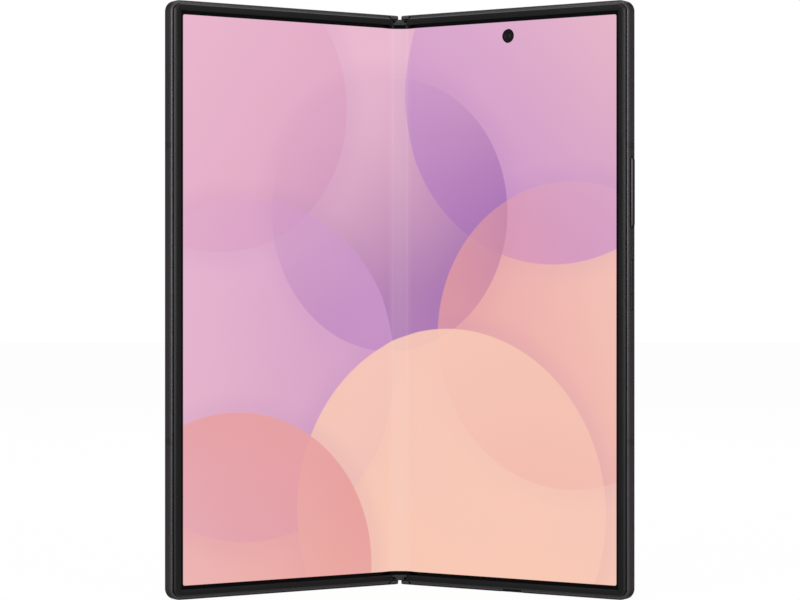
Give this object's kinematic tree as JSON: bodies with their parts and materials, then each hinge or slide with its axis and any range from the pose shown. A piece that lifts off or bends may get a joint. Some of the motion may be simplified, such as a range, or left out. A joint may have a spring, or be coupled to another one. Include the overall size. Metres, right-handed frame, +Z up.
{
  "type": "foldable smartphone",
  "caption": "Book-style folding phone, half open and standing: two thin halves on a geared two-axis hinge, a flexible inner display and an outer display.",
  "frame": {"origin": "centre of the footprint, on the plane the phone stands on", "axes": "+X to the viewer's right across the open phone, +Y away from the viewer towards the spine, +Z up along the hinge"},
  "size_m": [0.124, 0.0414, 0.1584],
  "materials": {
    "frame_graphite": "fine bead-blasted anodised graphite",
    "cap_dark": "satin dark coating",
    "strap_plastic": "matt moulded insert",
    "rim_plastic": "soft matt black",
    "screen_left": "lit picture under a glossy film",
    "screen_right": "lit picture under a glossy film",
    "screen_fold": "lit picture under a glossy film",
    "hinge_steel": "ground steel",
    "plate_steel": "rolled sheet",
    "gear_steel": "hardened, oiled",
    "bronze": "bronze washers",
    "flex_film": "amber polyimide film",
    "rear_glass_dark": "etched satin glass over a dark film",
    "cover_glass_black": "polished black-backed glass",
    "lens_metal": "turned and anodised",
    "lens_glass": "coated dark glass",
    "camera_black": "black moulded",
    "flash_lens": "pale diffusing lens",
    "board_green": "solder mask",
    "cell_wrap": "black foil wrap",
    "coil_copper": "enamelled copper",
    "module_plastic": "black moulded",
    "panel_dark": "dark panel",
    "magnet_nickel": "nickel plated"
  },
  "bodies": {
    "spine": {"spine_cover": "frame_graphite", "hinge_base_top": "hinge_steel", "hinge_base_bottom": "hinge_steel", "hinge_base_middle": "hinge_steel", "hinge_end_cap_top": "cap_dark", "hinge_end_cap_bottom": "cap_dark", "centre_support_plate": "plate_steel", "friction_washers": "bronze", "spine_flex_cables": "flex_film", "display_fold": "screen_fold"},
    "right_half": {"right_frame": "frame_graphite", "right_antenna_straps": "strap_plastic", "right_rim": "rim_plastic", "display_right": "screen_right", "right_hinge_brackets": "hinge_steel", "right_bracket_screws": "plate_steel", "rear_glass": "rear_glass_dark", "camera_island": "frame_graphite", "lens_rings": "lens_metal", "lens_windows": "lens_glass", "camera_modules": "camera_black", "flash_window": "flash_lens", "inner_camera": "camera_black", "main_board": "board_green", "shield_cans": "plate_steel", "main_battery": "cell_wrap", "charging_coil": "coil_copper", "loudspeaker": "module_plastic", "charging_port_shell": "plate_steel", "charging_port_tongue": "module_plastic", "key_switches": "flex_film", "right_magnets": "magnet_nickel"},
    "left_half": {"left_frame": "frame_graphite", "left_antenna_straps": "strap_plastic", "left_rim": "rim_plastic", "display_left": "screen_left", "left_hinge_brackets": "hinge_steel", "left_bracket_screws": "plate_steel", "cover_glass": "cover_glass_black", "cover_display": "panel_dark", "cover_camera": "camera_black", "second_battery": "cell_wrap", "left_board": "board_green", "earpiece": "module_plastic", "vibration_motor": "plate_steel", "card_reader": "hinge_steel", "left_magnets": "magnet_nickel"},
    "right_sync": {"right_sync_levers": "gear_steel"},
    "left_sync": {"left_sync_levers": "gear_steel"},
    "right_idler": {"right_idler_gears": "gear_steel"},
    "left_idler": {"left_idler_gears": "gear_steel"},
    "right_wing_plate": {"right_wing": "plate_steel"},
    "left_wing_plate": {"left_wing": "plate_steel"},
    "volume_rocker": {"volume_key": "frame_graphite"},
    "power_key": {"side_key": "frame_graphite"},
    "tray": {"card_tray": "frame_graphite"}
  },
  "joints": [
    {"name": "right_fold", "type": "hinge", "parent": "spine", "child": "right_half", "pos_m": [0.00125, 0.01755, 0.0792], "axis": [0, 0, -1], "range_deg": [-32.6, 57.4], "deforming": ["display_fold"]},
    {"name": "left_fold", "type": "hinge", "parent": "spine", "child": "left_half", "pos_m": [-0.00125, 0.01755, 0.0792], "axis": [0, 0, 1], "range_deg": [-32.6, 57.4]},
    {"name": "right_lever_turn", "type": "hinge", "parent": "spine", "child": "right_sync", "pos_m": [0.00227, 0.01857, 0.0792], "axis": [0, 0, -1], "range_deg": [-32.6, 57.4]},
    {"name": "left_lever_turn", "type": "hinge", "parent": "spine", "child": "left_sync", "pos_m": [-0.00227, 0.01857, 0.0792], "axis": [0, 0, 1], "range_deg": [-32.6, 57.4]},
    {"name": "right_idler_turn", "type": "hinge", "parent": "spine", "child": "right_idler", "pos_m": [0.00076, 0.01857, 0.0792], "axis": [0, 0, 1], "range_deg": [-32.6, 57.4]},
    {"name": "left_idler_turn", "type": "hinge", "parent": "spine", "child": "left_idler", "pos_m": [-0.00076, 0.01857, 0.0792], "axis": [0, 0, -1], "range_deg": [-32.6, 57.4]},
    {"name": "right_wing_tilt", "type": "hinge", "parent": "right_half", "child": "right_wing_plate", "pos_m": [0.00825, 0.01337, 0.0792], "axis": [0, 0, -1], "range_deg": [-5, 9]},
    {"name": "left_wing_tilt", "type": "hinge", "parent": "left_half", "child": "left_wing_plate", "pos_m": [-0.00825, 0.01337, 0.0792], "axis": [0, 0, 1], "range_deg": [-5, 9]},
    {"name": "volume_rock", "type": "hinge", "parent": "right_half", "child": "volume_rocker", "pos_m": [0.05991, -0.01842, 0.1076], "axis": [0.5388, 0.8425, 0], "range_deg": [-1.2, 1.2], "stiffness_Nm_per_rad": 0.4},
    {"name": "power_press", "type": "slide", "parent": "right_half", "child": "power_key", "axis": [-0.8425, 0.5388, 0], "range_m": [0, 0.00025], "stiffness_N_per_m": 6000},
    {"name": "tray_pull", "type": "slide", "parent": "left_half", "child": "tray", "axis": [0, 0, -1], "range_m": [0, 0.022]}
  ],
  "couplings": [
    {"joint": "left_fold", "follows": "right_fold", "ratio": 1},
    {"joint": "right_lever_turn", "follows": "right_fold", "ratio": 1},
    {"joint": "left_lever_turn", "follows": "right_fold", "ratio": 1},
    {"joint": "right_idler_turn", "follows": "right_fold", "ratio": 1},
    {"joint": "left_idler_turn", "follows": "right_fold", "ratio": 1},
    {"joint": "right_wing_tilt", "follows": "right_fold", "ratio": 0.15},
    {"joint": "left_wing_tilt", "follows": "right_fold", "ratio": 0.15}
  ]
}
